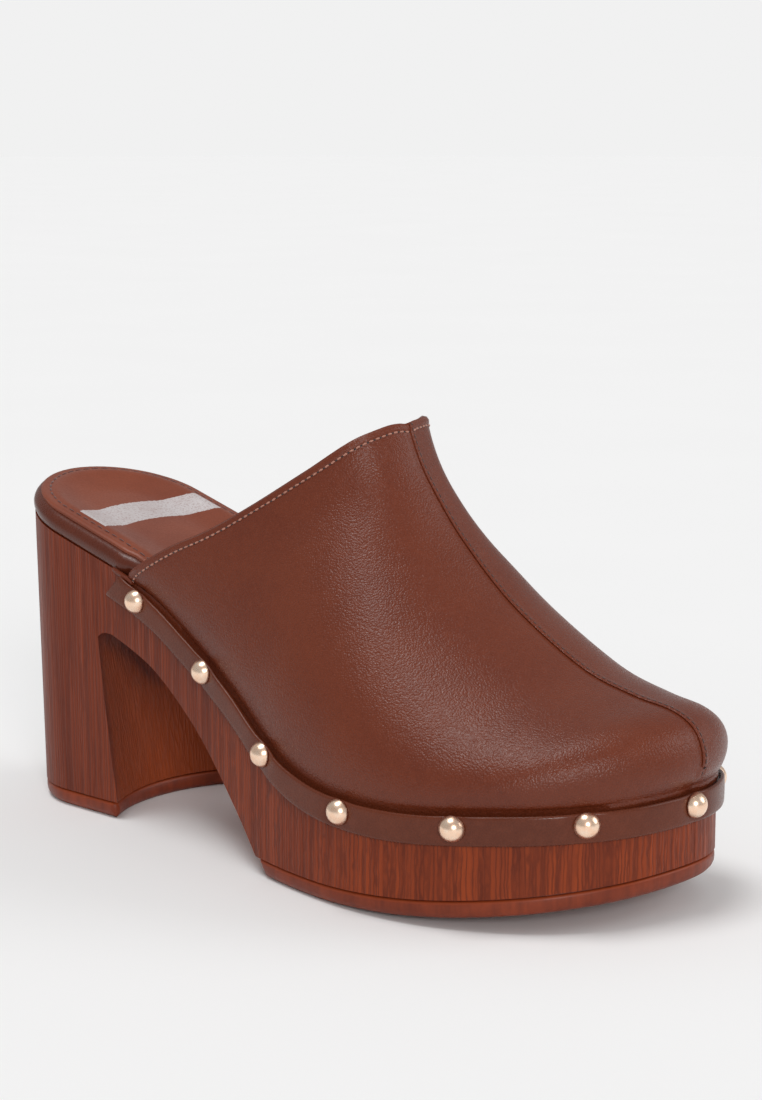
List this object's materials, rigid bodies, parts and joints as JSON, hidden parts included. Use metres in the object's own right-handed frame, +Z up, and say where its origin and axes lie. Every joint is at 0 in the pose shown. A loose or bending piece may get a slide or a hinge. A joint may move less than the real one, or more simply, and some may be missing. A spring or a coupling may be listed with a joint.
{
  "type": "wooden clog",
  "caption": "Block-heel platform clog: one-piece wood base, closed leather upper with a centre seam, open heel, studded band nailed round the upper's edge.",
  "frame": {"origin": "on the floor under the middle of the clog's bounding box", "axes": "+Z up, the toe points to -Y, the inner side of the foot is at +X (a right shoe)"},
  "size_m": [0.1045, 0.2436, 0.1285],
  "materials": {
    "base_wood": "stained reddish brown with upright streaks, satin",
    "tread": "smooth reddish brown tread, satin",
    "hidden_steel": "plain steel",
    "board": "fibre board",
    "foam": "soft cushion foam",
    "sock_leather": "smooth tan leather with a plain silver foil band",
    "band_leather": "smooth dark brown leather, satin",
    "upper_leather": "fine grained reddish brown leather, satin",
    "lining_leather": "thin tan lining",
    "stud_metal": "polished pale gold"
  },
  "bodies": {
    "root": {"clog_base": "base_wood", "platform_outsole": "tread", "heel_top_piece": "tread", "top_piece_nails": "hidden_steel", "shank": "hidden_steel", "shank_rivets": "hidden_steel", "insole_board": "board", "insole_tacks": "hidden_steel", "footbed_foam": "foam", "sock_lining": "sock_leather", "footbed_wrap": "band_leather", "vamp_lateral": "upper_leather", "vamp_medial": "upper_leather", "vamp_lining": "lining_leather", "toe_puff": "board", "welt_band": "band_leather", "dome_studs": "stud_metal"}
  },
  "joints": []
}
